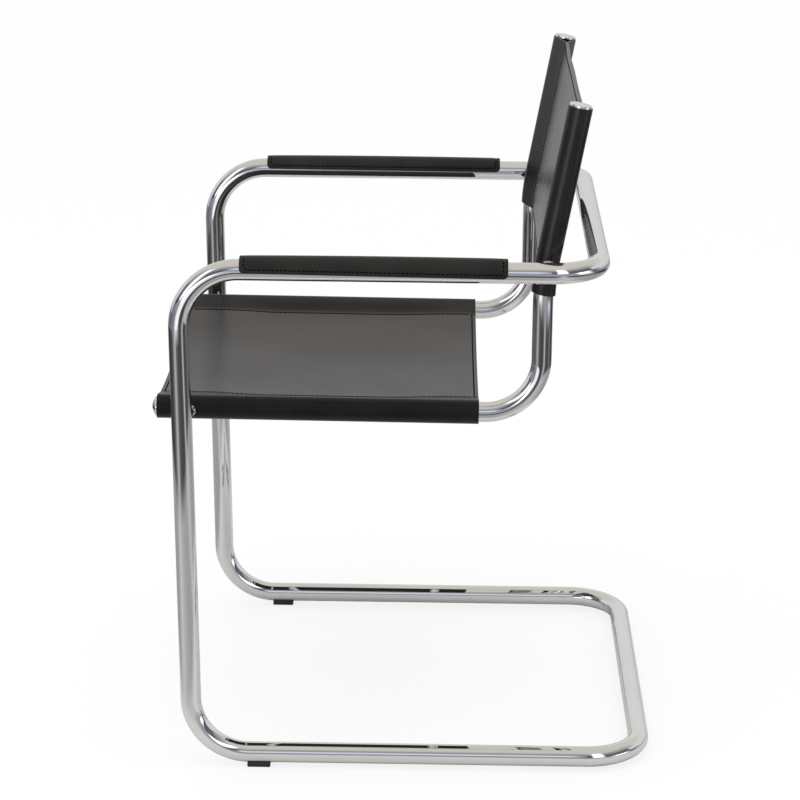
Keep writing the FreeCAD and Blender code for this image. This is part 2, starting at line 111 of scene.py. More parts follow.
def addNode(tree, kind, values=None, **settings):
    node = tree.nodes.new(kind)
    for key, value in settings.items():
        setattr(node, key, value)
    for key, value in (values or {}).items():
        node.inputs[key].default_value = value
    return node


def coordinates(tree, kind="Object"):
    return addNode(tree, "ShaderNodeTexCoord").outputs[kind]


def splitVector(tree, vector):
    node = addNode(tree, "ShaderNodeSeparateXYZ")
    tree.links.new(vector, node.inputs["Vector"])
    return node.outputs["X"], node.outputs["Y"], node.outputs["Z"]


def mathNode(tree, operation, a, b=None):
    node = addNode(tree, "ShaderNodeMath", operation=operation)
    for i, value in enumerate((a, b)):
        if isinstance(value, (int, float)):
            node.inputs[i].default_value = value
        elif value is not None:
            tree.links.new(value, node.inputs[i])
    return node.outputs[0]


def mixColours(tree, factor, first, second):
    node = addNode(tree, "ShaderNodeMix", data_type="RGBA")
    for socket, value in ((0, factor), (6, first), (7, second)):
        if isinstance(value, tuple):
            node.inputs[socket].default_value = (*value, 1)
        else:
            tree.links.new(value, node.inputs[socket])
    return node.outputs[2]


def ramp(tree, source, stops):
    # each stop is a place from 0 to 1 and a grey level or a colour
    node = addNode(tree, "ShaderNodeValToRGB")
    elements = node.color_ramp.elements
    while len(elements) > 1:
        elements.remove(elements[-1])
    for i, (position, colour) in enumerate(stops):
        element = elements[0] if i == 0 else elements.new(position)
        element.position = position
        if not isinstance(colour, tuple):
            colour = (colour, colour, colour)
        element.color = (*colour, 1)
    tree.links.new(source, node.inputs["Fac"])
    return node.outputs["Color"]


def fade(tree, source, low, high, start=0, end=1, kind="SMOOTHSTEP"):
    # goes from start to end while the source goes from low to high
    node = addNode(tree, "ShaderNodeMapRange",
                   {"From Min": low, "From Max": high, "To Min": start, "To Max": end},
                   interpolation_type=kind)
    tree.links.new(source, node.inputs["Value"])
    return node.outputs["Result"]


def noise(tree, vector, scale, detail, roughness):
    node = addNode(tree, "ShaderNodeTexNoise",
                   {"Scale": scale, "Detail": detail, "Roughness": roughness})
    tree.links.new(vector, node.inputs["Vector"])
    return node.outputs["Fac"]


def bump(tree, height, strength, depth, under=None):
    # depth in millimetres
    node = addNode(tree, "ShaderNodeBump", {"Strength": strength, "Distance": depth * mm})
    tree.links.new(height, node.inputs["Height"])
    if under is not None:
        tree.links.new(under, node.inputs["Normal"])
    return node.outputs["Normal"]


def scaled(tone, factor, lift=0.0):
    return tuple(c * factor + lift for c in tone)


chromeLook = {
    "cloud": 9, "haze": 60, "ripple": 55, "rippleStrength": 0.12, "rippleDepth": 0.06,
}
leatherLook = {
    "cloud": 14, "wornLift": 0.002, "grain": 0.9, "grainStrength": 0.5, "grainDepth": 0.05,
    "crease": 6, "creaseStrength": 0.35, "creaseDepth": 0.25,
    "panelSheen": 0.5, "pocketSheen": 0.27, "sheenEdge": (-2, 5),
}


def chromeMaterial(name, roughness, tone=(0.86, 0.86, 0.87)):
    # plating with a little cloud in its colour, haze in its polish and ripple in its surface
    material, tree, shader = newMaterial(name)
    shader.inputs["Metallic"].default_value = 1
    vector = coordinates(tree)
    cloud = noise(tree, vector, chromeLook["cloud"], 3, 0.5)
    tint = ramp(tree, cloud, [(0.3, scaled(tone, 0.97)), (0.7, tone)])
    tree.links.new(tint, shader.inputs["Base Color"])
    haze = noise(tree, vector, chromeLook["haze"], 4, 0.6)
    rough = ramp(tree, haze, [(0.35, roughness * 0.7), (0.7, roughness * 1.6)])
    tree.links.new(rough, shader.inputs["Roughness"])
    waves = noise(tree, vector, chromeLook["ripple"], 1, 0.4)
    normal = bump(tree, waves, chromeLook["rippleStrength"], chromeLook["rippleDepth"])
    tree.links.new(normal, shader.inputs["Normal"])
    return material


def leatherMaterial(name, tone, roughness, ior=1.38, polished=0):
    # fine pebbled grain, cloudy colour and slightly uneven polish
    material, tree, shader = newMaterial(name)
    shader.inputs["IOR"].default_value = ior
    vector = coordinates(tree)
    if polished:
        # the panel is polished by use as far as this distance, the pockets stay duller
        across = mathNode(tree, "ABSOLUTE", splitVector(tree, vector)[0])
        low, high = ((polished + d) * mm for d in leatherLook["sheenEdge"])
        sheen = fade(tree, across, low, high, leatherLook["panelSheen"],
                     leatherLook["pocketSheen"], "LINEAR")
        tree.links.new(sheen, shader.inputs["Specular IOR Level"])
    cloud = noise(tree, vector, leatherLook["cloud"], 5, 0.6)
    light = scaled(tone, 1.25, leatherLook["wornLift"])
    tint = ramp(tree, cloud, [(0.35, scaled(tone, 0.8)), (0.65, light)])
    tree.links.new(tint, shader.inputs["Base Color"])
    rough = ramp(tree, cloud, [(0.3, roughness * 0.92), (0.7, roughness * 1.1)])
    tree.links.new(rough, shader.inputs["Roughness"])
    grain = addNode(tree, "ShaderNodeTexVoronoi",
                    {"Scale": 1 / (leatherLook["grain"] * mm), "Randomness": 1.0},
                    feature="SMOOTH_F1")
    tree.links.new(vector, grain.inputs["Vector"])
    crease = noise(tree, vector, 1 / (leatherLook["crease"] * mm), 4, 0.6)
    coarse = bump(tree, crease, leatherLook["creaseStrength"], leatherLook["creaseDepth"])
    fine = bump(tree, grain.outputs["Distance"], leatherLook["grainStrength"],
                leatherLook["grainDepth"], coarse)
    tree.links.new(fine, shader.inputs["Normal"])
    return material


def matteMaterial(name, tone, roughness, scale, depth):
    # cut leather edge, thread, moulded nylon and zinc
    material, tree, shader = newMaterial(name)
    speck = noise(tree, coordinates(tree), scale, 4, 0.65)
    tint = ramp(tree, speck, [(0.3, scaled(tone, 0.7)), (0.7, scaled(tone, 1.3))])
    tree.links.new(tint, shader.inputs["Base Color"])
    rough = ramp(tree, speck, [(0.3, roughness * 0.9), (0.7, min(1, roughness * 1.12))])
    tree.links.new(rough, shader.inputs["Roughness"])
    tree.links.new(bump(tree, speck, 0.4, depth), shader.inputs["Normal"])
    return material


chrome = chromeMaterial("chrome", 0.02)
capChrome = chromeMaterial("capChrome", 0.05, (0.88, 0.87, 0.84))
# the spacers' chrome is darker and duller than the frame's: painted shade, for the spacers sit in the
# shadow of the leather sleeves
spacerChromeShaded = chromeMaterial("spacerChromeShaded", 0.1, (0.5, 0.5, 0.52))
seatLeather = leatherMaterial("seatLeather", (0.0075, 0.0064, 0.0058), 0.29, polished=190)
# the back's leather is tinted a touch blue: a painted reflection of the bluish windows round the room
backLeather = leatherMaterial("backLeather", (0.0062, 0.0062, 0.0072), 0.27, ior=1.5)
padLeather = leatherMaterial("padLeather", (0.0105, 0.0092, 0.0083), 0.42)
cutEdge = matteMaterial("cutEdge", (0.03, 0.022, 0.017), 0.8, 900, 0.15)
thread = matteMaterial("thread", (0.0012, 0.0012, 0.0014), 0.85, 2500, 0.1)
thread.node_tree.nodes["Principled BSDF"].inputs["Specular IOR Level"].default_value = 0.04
nylon = matteMaterial("nylon", (0.012, 0.012, 0.012), 0.55, 700, 0.05)
zinc = matteMaterial("zinc", (0.5, 0.5, 0.5), 0.35, 500, 0.03)
zinc.node_tree.nodes["Principled BSDF"].inputs["Metallic"].default_value = 1
print("materials made")


frameTube = {
    "diameter": 25, "halfWidth": 270.5, "floorHeight": 17.0, "armHeight": 626.0,
    "legFoot": -257.8, "lean": 1.0, "rearFloor": 291.5, "rearArm": 225.1,
    "radii": [68, 71, 70, 59.5], "jointGap": 0.06,
}
seatTube = {
    "diameter": 24, "halfSpacing": 228.2, "frontEnd": -298.4, "tip": -304.0,
    "frontHeight": 446.0, "rearHeight": 443.1, "upright": 159.0,
    "bendHeight": 607.3, "tilt": 10.4, "topHeight": 814.3, "radii": [66.5, 307],
}
spreaderBar = {
    "diameter": 16, "drop": 32, "run": 100, "radius": 90, "endGap": 4, "places": [-184.0, 36.0],
}
tubeMesh = {"stepsAlong": 22, "stepsRound": 20}
tilt = math.radians(seatTube["tilt"])
topY = seatTube["upright"] + (seatTube["topHeight"] - seatTube["bendHeight"]) * math.tan(tilt)


def railHeight(y):
    slope = (seatTube["rearHeight"] - seatTube["frontHeight"]) / (seatTube["upright"] - seatTube["tip"])
    return seatTube["frontHeight"] + (y - seatTube["tip"]) * slope


def legY(z):
    lean = math.tan(math.radians(frameTube["lean"]))
    return frameTube["legFoot"] - (z - frameTube["floorHeight"]) * lean


def bentTube(name, corners, radii, diameter):
    # a curve with straight runs and round bends, given a round section and made a mesh
    bpy.ops.object.select_all(action="DESELECT")
    bpy.ops.curve.primitive_bezier_curve_add()
    curve = bpy.context.object
    curve.name = name
    stops = [[corners[0], None, None]]
    for before, corner, after, radius in zip(corners, corners[1:], corners[2:], radii):
        arrive = (corner - before).normalized()
        leave = (after - corner).normalized()
        turn = arrive.angle(leave)
        reach = radius * mm * math.tan(turn / 2)
        handle = radius * mm * math.tan(turn / 4) * 4 / 3
        first = corner - arrive * reach
        last = corner + leave * reach
        stops.append([first, None, first + arrive * handle])
        stops.append([last, last - leave * handle, None])
    stops.append([corners[-1], None, None])
    spline = curve.data.splines[0]
    spline.bezier_points.add(len(stops) - len(spline.bezier_points))
    for i, (point, left, right) in enumerate(stops):
        bezier = spline.bezier_points[i]
        bezier.handle_left_type = bezier.handle_right_type = "FREE"
        previous = stops[max(i - 1, 0)][0]
        following = stops[min(i + 1, len(stops) - 1)][0]
        bezier.co = point
        bezier.handle_left = left or point.lerp(previous, 1 / 3)
        bezier.handle_right = right or point.lerp(following, 1 / 3)
    curve.data.dimensions = "3D"
    curve.data.resolution_u = tubeMesh["stepsAlong"]
    curve.data.bevel_depth = diameter / 2 * mm
    curve.data.bevel_resolution = tubeMesh["stepsRound"]
    curve.data.use_fill_caps = True
    selectOnly(curve)
    bpy.ops.object.convert(target="MESH")
    piece = bpy.context.object
    smoothShade(piece)
    return piece


for side, sign in bothSides:
    wide = frameTube["halfWidth"] * sign
    corners = [
        at(frameTube["jointGap"] * sign, frameTube["rearFloor"], frameTube["floorHeight"]),
        at(wide, frameTube["rearFloor"], frameTube["floorHeight"]),
        at(wide, frameTube["legFoot"], frameTube["floorHeight"]),
        at(wide, legY(frameTube["armHeight"]), frameTube["armHeight"]),
        at(wide, frameTube["rearArm"], frameTube["armHeight"]),
        at(frameTube["jointGap"] * sign, frameTube["rearArm"], frameTube["armHeight"]),
    ]
    piece = bentTube("frameLoop_" + side, corners, frameTube["radii"], frameTube["diameter"])
    keep(piece, chrome, ["frame_tube_" + side])

    wide = seatTube["halfSpacing"] * sign
    corners = [
        at(wide, seatTube["frontEnd"], railHeight(seatTube["frontEnd"])),
        at(wide, seatTube["upright"], seatTube["rearHeight"]),
        at(wide, seatTube["upright"], seatTube["bendHeight"]),
        at(wide, topY, seatTube["topHeight"]),
    ]
    piece = bentTube("seatTube_" + side, corners, seatTube["radii"], seatTube["diameter"])
    keep(piece, chrome, ["seat_tube_" + side])

for name, y in zip(("front", "rear"), spreaderBar["places"]):
    end = seatTube["halfSpacing"] - spreaderBar["endGap"]
    inner = seatTube["halfSpacing"] - spreaderBar["run"]
    z = railHeight(y)
    endDrop = spreaderBar["endGap"] / spreaderBar["run"] * spreaderBar["drop"]
    corners = [
        at(-end, y, z - endDrop), at(-inner, y, z - spreaderBar["drop"]),
        at(inner, y, z - spreaderBar["drop"]), at(end, y, z - endDrop),
    ]
    piece = bentTube("spreader_" + name, corners, [spreaderBar["radius"]] * 2, spreaderBar["diameter"])
    keep(piece, chrome, ["seat_spreader_" + name])
print("tubes bent")


endCap = {
    "front": {"radius": 12.0, "edge": 2.5, "height": 5.6, "steps": 10},
    "back": {"radius": 13.3, "edge": 0.7, "height": 2.6, "steps": 5},
}


def capPiece(name, kind, base, direction):
    # a disc whose top face is inset and lifted in steps along a rounded edge
    radius, edge, height, steps = (endCap[kind][k] for k in ("radius", "edge", "height", "steps"))
    bpy.ops.object.select_all(action="DESELECT")
    bpy.ops.mesh.primitive_circle_add(vertices=72, radius=radius * mm, fill_type="NGON")
    piece = bpy.context.object
    piece.name = name
    bpy.ops.object.mode_set(mode="EDIT")
    bpy.ops.mesh.select_all(action="SELECT")
    profile = []
    if kind == "back":
        profile.append((radius, height - edge))
    for i in range(1, steps + 1):
        turn = math.radians(90 * i / steps)
        lift = (height - edge if kind == "back" else 0) + edge * math.sin(turn)
        profile.append((radius - edge + edge * math.cos(turn), lift))
    if kind == "front":
        # a shallow dome inside the rounded edge
        flat = radius - edge
        for i in range(1, steps):
            r = flat * (1 - i / steps)
            profile.append((r, edge + (height - edge) * (1 - (r / flat) ** 2)))
    now, lifted = radius, 0
    for r, h in profile:
        bpy.ops.mesh.extrude_region_move(TRANSFORM_OT_translate={"value": (0, 0, (h - lifted) * mm)})
        bpy.ops.transform.resize(value=(r / now, r / now, 1))
        now, lifted = r, h
    bpy.ops.mesh.select_all(action="SELECT")
    bpy.ops.mesh.normals_make_consistent(inside=False)
    bpy.ops.object.mode_set(mode="OBJECT")
    turn = direction.to_track_quat("Z", "Y").to_matrix().to_4x4()
    piece.data.transform(Matrix.Translation(base) @ turn)
    smoothShade(piece, 50)
    return piece


railTurn = math.atan2(railHeight(100) - railHeight(0), 100)
forward = Vector((0, -math.cos(railTurn), -math.sin(railTurn)))
upTheBack = Vector((0, math.sin(tilt), math.cos(tilt)))
for side, sign in bothSides:
    x = seatTube["halfSpacing"] * sign
    base = at(x, seatTube["frontEnd"], railHeight(seatTube["frontEnd"]))
    piece = capPiece("frontCap_" + side, "front", base, forward)
    keep(piece, capChrome, ["seat_tube_cap_" + side])
    piece = capPiece("topCap_" + side, "back", at(x, topY, seatTube["topHeight"]), upTheBack)
    keep(piece, capChrome, ["back_tube_cap_" + side])

# the CAD pieces that stay as they are get a material only
hardware = ("frame_bolts", "threaded_inserts", "arm_pad_screws",
            "floor_joint_sleeve", "arm_joint_sleeve")
for name, node in nodes.items():
    look = None
    if "glide" in name or "plate" in name:
        look = nylon
    elif name in hardware:
        look = zinc
    # the spacers get the darkened chrome, a painted shade
    elif "spacer" in name:
        look = spacerChromeShaded
    if look:
        node.data.materials.clear()
        node.data.materials.append(look)
print("caps and glides made")


seatSling = {
    "layer": 2.0, "outerRadius": 14.5, "seamOffset": 38.0, "rise": 3.8, "sag": 9.0,
    "front": -298.0, "rear": 85.7, "edgeSeam": 5.0, "sideSeam": 4.5, "groove": 0.6, "stitch": 5.4,
    "dip": 2.4, "dipStart": (55, 125), "dipEnd": (270, 360), "dipEdge": 8, "dipFade": 28,
}
backSling = {
    "layer": 2.0, "outerRadius": 14.5, "seamOffset": 30.0, "rise": -1.2, "sag": -0.8,
    "lowerDrop": 34.6, "topMargin": 0.3, "edgeSeam": 5.0, "sideSeam": 3.5, "groove": 0.6, "stitch": 5.4,
}
slingDetail = {
    "panelPoints": [0, 12, 26, 42, 58, 74, 90, 106, 120, 134, 147, 158, 167, 174], "panelEnd": 12,
    "stitchPoints": [4, 2.6, 1.8, 1.2, 0.6, 0, -0.6, -1.2, -1.8], "seamPoints": [2, 1, 0, -1, -2],
    "straightSteps": 6, "roundSteps": 30, "fold": 3.0, "gap": 0.03,
    "grooveWidth": 1.3, "endGroove": 0.7, "endGrooveWidth": 1.1, "pucker": 0.25, "puckerWidth": 2.2,
    "ripple": 0.35, "rippleFade": 60, "stitchSize": (0.9, 1.75, 0.8), "stitchSink": 0.45,
}


def seamPlace(sling):
    return seatTube["halfSpacing"] - sling["seamOffset"]


def panelLevel(sling, x, level):
    # height over the tube's axis of a layer that sags between the seams
    return sling["rise"] + level - sling["sag"] * (1 - (x / seamPlace(sling)) ** 2)


def ripple(sling, x, s):
    # slight waves in the panel, which die out towards the seams
    inside = smoothStep((seamPlace(sling) - abs(x)) / slingDetail["rippleFade"])
    waves = math.sin(x / 47 + s / 61) + 0.6 * math.sin(x / 29 - s / 83 + 1.3)
    return slingDetail["ripple"] * inside * waves


def slingSection(sling):
    # half of the leather's middle line, from the middle of the panel's upper layer round the
    # tube to the middle of its lower layer
    tube = seatTube["halfSpacing"]
    radius = sling["outerRadius"] - sling["layer"] / 2
    seam = seamPlace(sling)
    half = sling["layer"] / 2 + slingDetail["gap"]

    def touch(height, way):
        # where a straight line from the seam meets the round of the tube
        away = math.acos(radius / math.hypot(seam - tube, height))
        angle = math.atan2(height, seam - tube) - away * way
        return angle, (tube + radius * math.cos(angle), radius * math.sin(angle))

    def line(x, level, end):
        # the panel as far as the seam, then the straight line to the tube
        if x <= seam:
            return panelLevel(sling, x, level)
        height = sling["rise"] + level
        return height + (end[1] - height) * ((x - seam) / (end[0] - seam))

    def eased(x, level, end):
        # rounds the fold at the seam
        fold = slingDetail["fold"]
        return (line(x - fold, level, end) + 2 * line(x, level, end) + line(x + fold, level, end)) / 4

    upper, upperEnd = touch(sling["rise"] + half, 1)
    lower, lowerEnd = touch(sling["rise"] - half, -1)
    spread = [x for x in slingDetail["panelPoints"] if x < seam - slingDetail["panelEnd"]]
    near = [seam - sling["sideSeam"] - d for d in slingDetail["stitchPoints"]]
    near += [seam - d for d in slingDetail["seamPoints"]]
    shares = [i / slingDetail["straightSteps"] for i in range(1, slingDetail["straightSteps"])]

    top = [(x, panelLevel(sling, x, half)) for x in spread]
    top += [(x, eased(x, half, upperEnd)) for x in near]
    for share in shares:
        x = near[-1] + (upperEnd[0] - near[-1]) * share
        top.append((x, line(x, half, upperEnd)))
    start = upper % (2 * math.pi)
    end = lower % (2 * math.pi) - 2 * math.pi
    around = []
    for i in range(slingDetail["roundSteps"] + 1):
        angle = start + (end - start) * i / slingDetail["roundSteps"]
        around.append((tube + radius * math.cos(angle), radius * math.sin(angle)))
    bottom = []
    for share in shares:
        x = lowerEnd[0] + (near[-1] - lowerEnd[0]) * share
        bottom.append((x, line(x, -half, lowerEnd)))
    bottom += [(x, eased(x, -half, lowerEnd)) for x in reversed(near)]
    bottom += [(x, panelLevel(sling, x, -half)) for x in reversed(spread)]
    kinds = ["top"] * len(top) + ["round"] * len(around) + ["bottom"] * len(bottom)
    return list(zip(top + around + bottom, kinds)), seam


def stitchPitch(length, sling):
    # the first and last stitch lie the same way from both edges
    first = sling["edgeSeam"] + 4
    count = round((length - 2 * first) / sling["stitch"])
    return first, count, (length - 2 * first) / count


def stationList(length, sling):
    # distance along the sling, and how deep the leather puckers there
    seamIn = sling["edgeSeam"]
    first, count, pitch = stitchPitch(length, sling)
    near = [0, 0.8, 1.8, 2.8, 3.6, 4.3, seamIn, seamIn + 0.7, seamIn + 1.4, seamIn + 2.4, first]
    stations = [(s, 0.5) for s in near]
    for i in range(1, 2 * count):
        stations.append((first + pitch * i / 2, (i + 1) % 2))
    stations += [(length - s, 0.5) for s in reversed(near)]
    return stations


def slingPiece(name, sling, length, place):
    # place(x, n, s) puts a section point at distance s along the sling
    section, seam = slingSection(sling)
    loop = section + [((-x, n), kind) for (x, n), kind in reversed(section[1:-1])]
    stations = stationList(length, sling)
    points = []
    for s, pucker in stations:
        fromSeam = (min(s, length - s) - sling["edgeSeam"]) / slingDetail["endGrooveWidth"]
        endGroove = sling["groove"] * slingDetail["endGroove"] * math.exp(-fromSeam ** 2)
        for (x, n), kind in loop:
            depth = 0
            if kind != "round":
                across = abs(abs(x) - seam + sling["sideSeam"])
                depth = sling["groove"] * math.exp(-(across / slingDetail["grooveWidth"]) ** 2)
                if abs(x) < seam + 1:
                    depth = max(depth, endGroove)
                deepest = slingDetail["pucker"] * pucker
                depth += deepest * math.exp(-(across / slingDetail["puckerWidth"]) ** 2)
            sink = -depth if kind == "top" else depth
            points.append(place(x, n + sink + ripple(sling, x, s), s))
    piece = meshPiece(name, points, ringFaces(len(stations), len(loop)))
    thick = piece.modifiers.new("thickness", "SOLIDIFY")
    thick.thickness = sling["layer"] * mm
    thick.offset = 0
    thick.use_rim = True
    # the rim takes the second material, the cut edge
    thick.material_offset_rim = 1
    piece.data.materials.append(None)
    piece.data.materials.append(None)
    applyAll(piece)
    return piece, seam


def stitchRows(name, rows, size):
    # rows: list of (centre, along, up); one small capsule is copied to each place
    bpy.ops.object.select_all(action="DESELECT")
    bpy.ops.mesh.primitive_uv_sphere_add(segments=8, ring_count=6, radius=1)
    seed = bpy.context.object
    shape = [v.co.copy() for v in seed.data.vertices]
    skin = [tuple(f.vertices) for f in seed.data.polygons]
    bpy.data.objects.remove(seed)
    halfWidth, halfLength, halfHeight = (value * mm for value in size)
    points, faces = [], []
    for centre, along, up in rows:
        across = along.cross(up).normalized()
        start = len(points)
        for v in shape:
            bulge = math.copysign(abs(v.z) ** 0.6, v.z)
            points.append(centre + across * v.x * halfWidth + up * v.y * halfHeight
                          + along * bulge * halfLength)
        faces += [tuple(i + start for i in f) for f in skin]
    piece = meshPiece(name, points, faces)
    smoothShade(piece, 80)
    return piece


def slingStitches(name, sling, length, place):
    edge = sling["edgeSeam"]
    side = seamPlace(sling) - sling["sideSeam"]
    level = sling["layer"] + slingDetail["gap"] - sling["groove"] * slingDetail["stitchSink"]
    rows = []

    def surface(x, s, way):
        return panelLevel(sling, x, level * way) + ripple(sling, x, s)

    def add(x, s, alongX, way):
        centre = place(x, surface(x, s, way), s)
        ahead = place(x + alongX * 0.5, surface(x + alongX * 0.5, s, way), s + (1 - alongX) * 0.5)
        up = place(x, surface(x, s, way) + 1, s) - centre
        rows.append((centre, (ahead - centre).normalized(), up.normalized()))

    first, count, pitch = stitchPitch(length, sling)
    endCount = int(2 * side / sling["stitch"])
    for way in (1, -1):
        for i in range(count):
            s = first + pitch * (i + 0.5)
            add(side, s, 0, way)
            add(-side, s, 0, way)
        for i in range(endCount):
            x = -side + 2 * side * (i + 0.5) / endCount
            add(x, edge, 1, way)
            add(x, length - edge, 1, way)
    return stitchRows(name, rows, slingDetail["stitchSize"])


def seatPlace(x, n, s):
    # both seams sink a little over the middle of the seat's depth
    fromFront, full = seatSling["dipStart"]
    back, gone = seatSling["dipEnd"]
    middle = smoothStep((s - fromFront) / (full - fromFront))
    middle *= 1 - smoothStep((s - back) / (gone - back))
    inside = seatTube["halfSpacing"] - seatSling["dipEdge"] - abs(x)
    n -= seatSling["dip"] * middle * smoothStep(inside / seatSling["dipFade"])
    y = seatSling["front"] + s * math.cos(railTurn) - n * math.sin(railTurn)
    z = railHeight(seatSling["front"]) + s * math.sin(railTurn) + n * math.cos(railTurn)
    return at(x, y, z)


bendRadius = seatTube["radii"][1]
bendHalf = bendRadius * math.tan(tilt / 2)
bendStart = seatTube["bendHeight"] - bendHalf
topLength = ((seatTube["topHeight"] - seatTube["bendHeight"]) / math.cos(tilt)) - bendHalf
bendLength = bendRadius * tilt


def backAxis(s):
    # a point on the back tube's axis at distance s above the start of its bend, and its tilt
    if s < 0:
        return seatTube["upright"], bendStart + s, 0.0
    angle = min(s / bendRadius, tilt)
    straight = max(s - bendLength, 0)
    y = seatTube["upright"] + bendRadius * (1 - math.cos(angle)) + straight * math.sin(tilt)
    z = bendStart + bendRadius * math.sin(angle) + straight * math.cos(tilt)
    return y, z, angle


footHeight = frameTube["armHeight"] - backSling["lowerDrop"]
footS = bendRadius * math.asin((footHeight - bendStart) / bendRadius)
headS = bendLength + topLength - backSling["topMargin"]


def backPlace(x, n, s):
    # n runs forward, so it is taken away from y; the lower end is cut square to the tilted part
    share = 1 - s / (headS - footS)
    skew = n * math.tan(tilt - footS / bendRadius) * share
    y, z, a = backAxis(footS + s + skew)
    return at(x, y - n * math.cos(a), z + n * math.sin(a))


def edgeFinish(piece):
    soft = piece.modifiers.new("soft edge", "BEVEL")
    soft.width = 0.45 * mm
    soft.segments = 2
    soft.limit_method = "ANGLE"
    soft.angle_limit = math.radians(55)
    applyAll(piece)


def punch(piece, holes):
    # each hole is a round cutter from one point to another
    for first, last, radius in holes:
        bpy.ops.object.select_all(action="DESELECT")
        bpy.ops.mesh.primitive_cylinder_add(vertices=40, radius=radius * mm, depth=(last - first).length,
                                            location=(first + last) / 2,
                                            rotation=(last - first).to_track_quat("Z", "Y").to_euler())
        cutter = bpy.context.object
        cut = piece.modifiers.new("hole", "BOOLEAN")
        cut.operation = "DIFFERENCE"
        cut.object = cutter
        cut.solver = "EXACT"
        applyAll(piece)
        bpy.data.objects.remove(cutter)


slingHole = {
    "spacer": 4.9, "spacerReach": (236, 250), "legHeight": 445.7, "legInset": 8,
    "arm": (163.0, 628.5), "bar": 9.5, "barReach": (2.2, 44.2),
}
legBolt = legY(slingHole["legHeight"]) + slingHole["legInset"]
barSlope = spreaderBar["drop"] / spreaderBar["run"]
seatHoles, backHoles = [], []
for sign in (-1, 1):
    seatEnds = [at(sign * x, legBolt, railHeight(legBolt)) for x in slingHole["spacerReach"]]
    seatHoles.append((*seatEnds, slingHole["spacer"]))
    backEnds = [at(sign * x, *slingHole["arm"]) for x in slingHole["spacerReach"]]
    backHoles.append((*backEnds, slingHole["spacer"]))
    for y in spreaderBar["places"]:
        barEnds = [at(sign * (seatTube["halfSpacing"] - d), y, railHeight(y) - d * barSlope)
                   for d in slingHole["barReach"]]
        seatHoles.append((*barEnds, slingHole["bar"]))

seatLength = (seatSling["rear"] - seatSling["front"]) / math.cos(railTurn)
piece, seam = slingPiece("seatSling", seatSling, seatLength, seatPlace)
edgeFinish(piece)
punch(piece, seatHoles)
smoothShade(piece, 40)
keep(piece, [seatLeather, cutEdge], ["seat_sling"])
keep(slingStitches("seatStitches", seatSling, seatLength, seatPlace), thread)

piece, seam = slingPiece("backSling", backSling, headS - footS, backPlace)
edgeFinish(piece)
punch(piece, backHoles)
smoothShade(piece, 40)
keep(piece, [backLeather, cutEdge], ["back_sling"])
keep(slingStitches("backStitches", backSling, headS - footS, backPlace), thread)
print("slings made")


armPad = {
    "front": -195.6, "rear": 116.0, "inner": 12.7, "radius": 15.6, "lift": 1.0,
    "outerDrop": (0.6, 4.0), "innerDrop": (-2.0, -1.0),
    "corner": 6.0, "crown": 1.1, "edge": 1.6, "seamUp": 4.5, "seamIn": 5.5, "seamCorner": 5.0,
    "seamTop": 24.5, "groove": 0.7, "stitch": 5.2, "stitchSize": (0.7, 1.8, 0.45), "stitchSink": 0.7,
    "endPoints": [0, 0.15, 0.5, 1.0, 1.6, 2.6, 3.6, 4.4, 5.0, 5.5, 6.0, 6.6, 7.6, 9, 11], "step": 3.0,
    "edgePoints": [0, 1.2, 2.4, 3.3, 3.9, 4.5, 5.1, 5.7, 6.6, 8], "arc": 50.0, "arcSteps": 22,
    "innerPoints": 22,
}


def padEdge(y, drops):
    # height of a lower edge, which rises towards the front and curves up at the ends
    t = (y - armPad["front"]) / (armPad["rear"] - armPad["front"])
    fromEnd = max(0, min(y - armPad["front"], armPad["rear"] - y))
    r = armPad["corner"]
    rise = r - math.sqrt(r * r - (r - fromEnd) ** 2) if fromEnd < r else 0
    return -drops[0] - (drops[1] - drops[0]) * t + rise


def padOuter(y, share):
    # share runs from 0 at the outer lower edge over the top to 1 at the inner lower edge
    length = armPad["rear"] - armPad["front"]
    t = min(1, max(0, (y - armPad["front"]) / length))
    fromEnd = min(t, 1 - t) * length
    crown = armPad["crown"] * math.sin(math.pi * t) ** 0.6
    radius = armPad["radius"] + crown / 2
    lift = armPad["lift"] + crown / 2
    start = math.asin((padEdge(y, armPad["outerDrop"]) - lift) / radius)
    end = math.pi - math.asin((padEdge(y, armPad["innerDrop"]) - lift) / radius)
    angle = start + (end - start) * share
    e = armPad["edge"]
    if fromEnd < e:
        radius -= e - math.sqrt(e * e - (e - fromEnd) ** 2)
    return angle, radius, lift


def padPoint(side, y, radius, angle, lift=0):
    return at(side * (frameTube["halfWidth"] + radius * math.cos(angle)), y,
              frameTube["armHeight"] + lift + radius * math.sin(angle))


def padSurface(side, y, share, sink):
    angle, radius, lift = padOuter(y, share)
    return padPoint(side, y, radius - sink, angle, lift)


def padSeamDepth(y, share):
    # depth of the groove under the stitched line that runs round the pad's edge
    angle, radius, lift = padOuter(y, share)
    nearest = padOuter(y, 0 if share <= 0.5 else 1)[0]
    a = min(y - armPad["front"], armPad["rear"] - y) - armPad["seamIn"]
    b = radius * abs(angle - nearest) - armPad["seamUp"]
    c = armPad["seamCorner"]
    distance = c - math.hypot(c - a, c - b) if a < c and b < c else min(a, b)
    return armPad["groove"] * math.exp(-distance ** 2)


